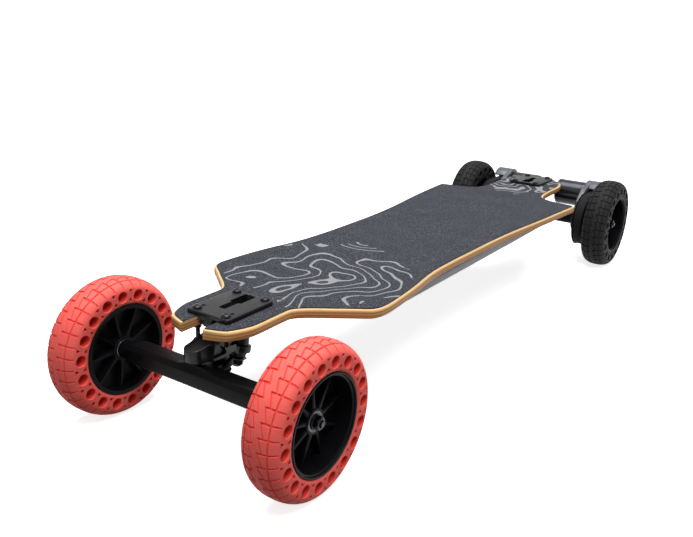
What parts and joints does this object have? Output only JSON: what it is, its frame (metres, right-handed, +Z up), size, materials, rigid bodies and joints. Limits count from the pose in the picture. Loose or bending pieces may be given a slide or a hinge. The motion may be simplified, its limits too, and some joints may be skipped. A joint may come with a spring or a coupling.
{
  "type": "electric mountainboard",
  "caption": "Electric all-terrain board: maple deck with grip tape, double kingpin trucks, airless tyres, twin rear belt drive and a flat enclosure under the deck.",
  "frame": {"origin": "on the floor midway between the two axles, on the board's middle line", "axes": "+Z up, -Y towards the front with the red wheels, +X to the right as seen from the front"},
  "size_m": [0.3282, 1.1379, 0.165],
  "materials": {
    "maple": "clear lacquered maple plies",
    "grip": "coarse grit, matte",
    "black_metal": "satin black coating on cast metal",
    "grey_metal": "dark grey anodised, satin",
    "steel": "plain steel",
    "dark_steel": "black oxide steel",
    "urethane": "smooth urethane",
    "red_tyre": "coral red rubber",
    "black_tyre": "black rubber",
    "black_plastic": "satin moulded nylon",
    "belt_rubber": "matte reinforced rubber",
    "case_plastic": "grey moulded plastic",
    "seal": "closed cell seal",
    "wrap": "shrink wrap"
  },
  "bodies": {
    "board": {"deck": "maple", "grip_tape": "grip", "enclosure": "case_plastic", "enclosure_gasket": "seal", "battery_pack": "wrap", "motor_controller": "dark_steel", "charge_port": "steel", "cable_gland": "black_plastic", "front_baseplate": "black_metal", "front_upper_kingpin": "dark_steel", "front_upper_bushings": "urethane", "front_truck_bolt_1": "dark_steel", "front_truck_bolt_2": "dark_steel", "front_truck_bolt_3": "dark_steel", "front_truck_bolt_4": "dark_steel", "rear_baseplate": "black_metal", "rear_upper_kingpin": "dark_steel", "rear_upper_bushings": "urethane", "rear_truck_bolt_1": "dark_steel", "rear_truck_bolt_2": "dark_steel", "rear_truck_bolt_3": "dark_steel", "rear_truck_bolt_4": "dark_steel"},
    "front_arm_body": {"front_arm": "black_metal", "front_lower_kingpin": "dark_steel", "front_lower_bushings": "urethane"},
    "front_hanger_body": {"front_hanger": "black_metal", "front_axle": "steel", "front_left_axle_nut": "dark_steel", "front_right_axle_nut": "dark_steel"},
    "front_left_wheel": {"front_left_tyre": "red_tyre", "front_left_rim": "black_plastic", "front_left_bearings": "steel"},
    "front_right_wheel": {"front_right_tyre": "red_tyre", "front_right_rim": "black_plastic", "front_right_bearings": "steel"},
    "rear_arm_body": {"rear_arm": "black_metal", "rear_lower_kingpin": "dark_steel", "rear_lower_bushings": "urethane"},
    "rear_hanger_body": {"rear_hanger": "black_metal", "rear_axle": "steel", "rear_left_axle_nut": "dark_steel", "rear_right_axle_nut": "dark_steel", "left_motor_mount": "grey_metal", "left_motor": "grey_metal", "left_belt": "belt_rubber", "right_motor_mount": "grey_metal", "right_motor": "grey_metal", "right_belt": "belt_rubber"},
    "rear_left_wheel": {"rear_left_tyre": "black_tyre", "rear_left_rim": "black_plastic", "rear_left_bearings": "steel", "left_wheel_pulley": "black_plastic"},
    "rear_right_wheel": {"rear_right_tyre": "black_tyre", "rear_right_rim": "black_plastic", "rear_right_bearings": "steel", "right_wheel_pulley": "black_plastic"},
    "left_motor_rotor": {"left_motor_pulley": "steel"},
    "right_motor_rotor": {"right_motor_pulley": "steel"},
    "button_body": {"power_button": "black_plastic"},
    "cap_body": {"charge_port_cap": "seal"}
  },
  "joints": [
    {"name": "front_arm_hinge", "type": "hinge", "parent": "board", "child": "front_arm_body", "pos_m": [0, -0.4725, 0.143], "axis": [0, 0.7372, -0.6757], "range_deg": [-10, 10], "stiffness_Nm_per_rad": 200, "deforming": ["front_upper_bushings"]},
    {"name": "front_hanger_hinge", "type": "hinge", "parent": "front_arm_body", "child": "front_hanger_body", "pos_m": [0, -0.4885, 0.1055], "axis": [0, 0.9386, -0.3451], "range_deg": [-10, 10], "stiffness_Nm_per_rad": 200, "deforming": ["front_lower_bushings"]},
    {"name": "front_left_wheel_spin", "type": "hinge", "parent": "front_hanger_body", "child": "front_left_wheel", "pos_m": [-0.1414, -0.4825, 0.0825], "axis": [1, 0, 0], "continuous": true},
    {"name": "front_right_wheel_spin", "type": "hinge", "parent": "front_hanger_body", "child": "front_right_wheel", "pos_m": [0.1414, -0.4825, 0.0825], "axis": [1, 0, 0], "continuous": true},
    {"name": "rear_arm_hinge", "type": "hinge", "parent": "board", "child": "rear_arm_body", "pos_m": [0, 0.4725, 0.143], "axis": [0, -0.7372, -0.6757], "range_deg": [-10, 10], "stiffness_Nm_per_rad": 200, "deforming": ["rear_upper_bushings"]},
    {"name": "rear_hanger_hinge", "type": "hinge", "parent": "rear_arm_body", "child": "rear_hanger_body", "pos_m": [0, 0.4885, 0.1055], "axis": [0, -0.9386, -0.3451], "range_deg": [-10, 10], "stiffness_Nm_per_rad": 200, "deforming": ["rear_lower_bushings"]},
    {"name": "rear_left_wheel_spin", "type": "hinge", "parent": "rear_hanger_body", "child": "rear_left_wheel", "pos_m": [-0.1414, 0.4825, 0.0825], "axis": [1, 0, 0], "continuous": true},
    {"name": "rear_right_wheel_spin", "type": "hinge", "parent": "rear_hanger_body", "child": "rear_right_wheel", "pos_m": [0.1414, 0.4825, 0.0825], "axis": [1, 0, 0], "continuous": true},
    {"name": "left_motor_spin", "type": "hinge", "parent": "rear_hanger_body", "child": "left_motor_rotor", "pos_m": [-0.1011, 0.542, 0.1175], "axis": [1, 0, 0], "continuous": true},
    {"name": "right_motor_spin", "type": "hinge", "parent": "rear_hanger_body", "child": "right_motor_rotor", "pos_m": [0.1011, 0.542, 0.1175], "axis": [1, 0, 0], "continuous": true},
    {"name": "power_button_press", "type": "slide", "parent": "board", "child": "button_body", "axis": [1, 0, 0], "range_m": [0, 0.0012], "stiffness_N_per_m": 400},
    {"name": "charge_cap_swing", "type": "hinge", "parent": "board", "child": "cap_body", "pos_m": [-0.1044, 0.1984, 0.127], "axis": [0, 0, -1], "range_deg": [0, 120]}
  ],
  "couplings": [
    {"joint": "left_motor_spin", "follows": "rear_left_wheel_spin", "ratio": 4},
    {"joint": "right_motor_spin", "follows": "rear_right_wheel_spin", "ratio": 4}
  ]
}
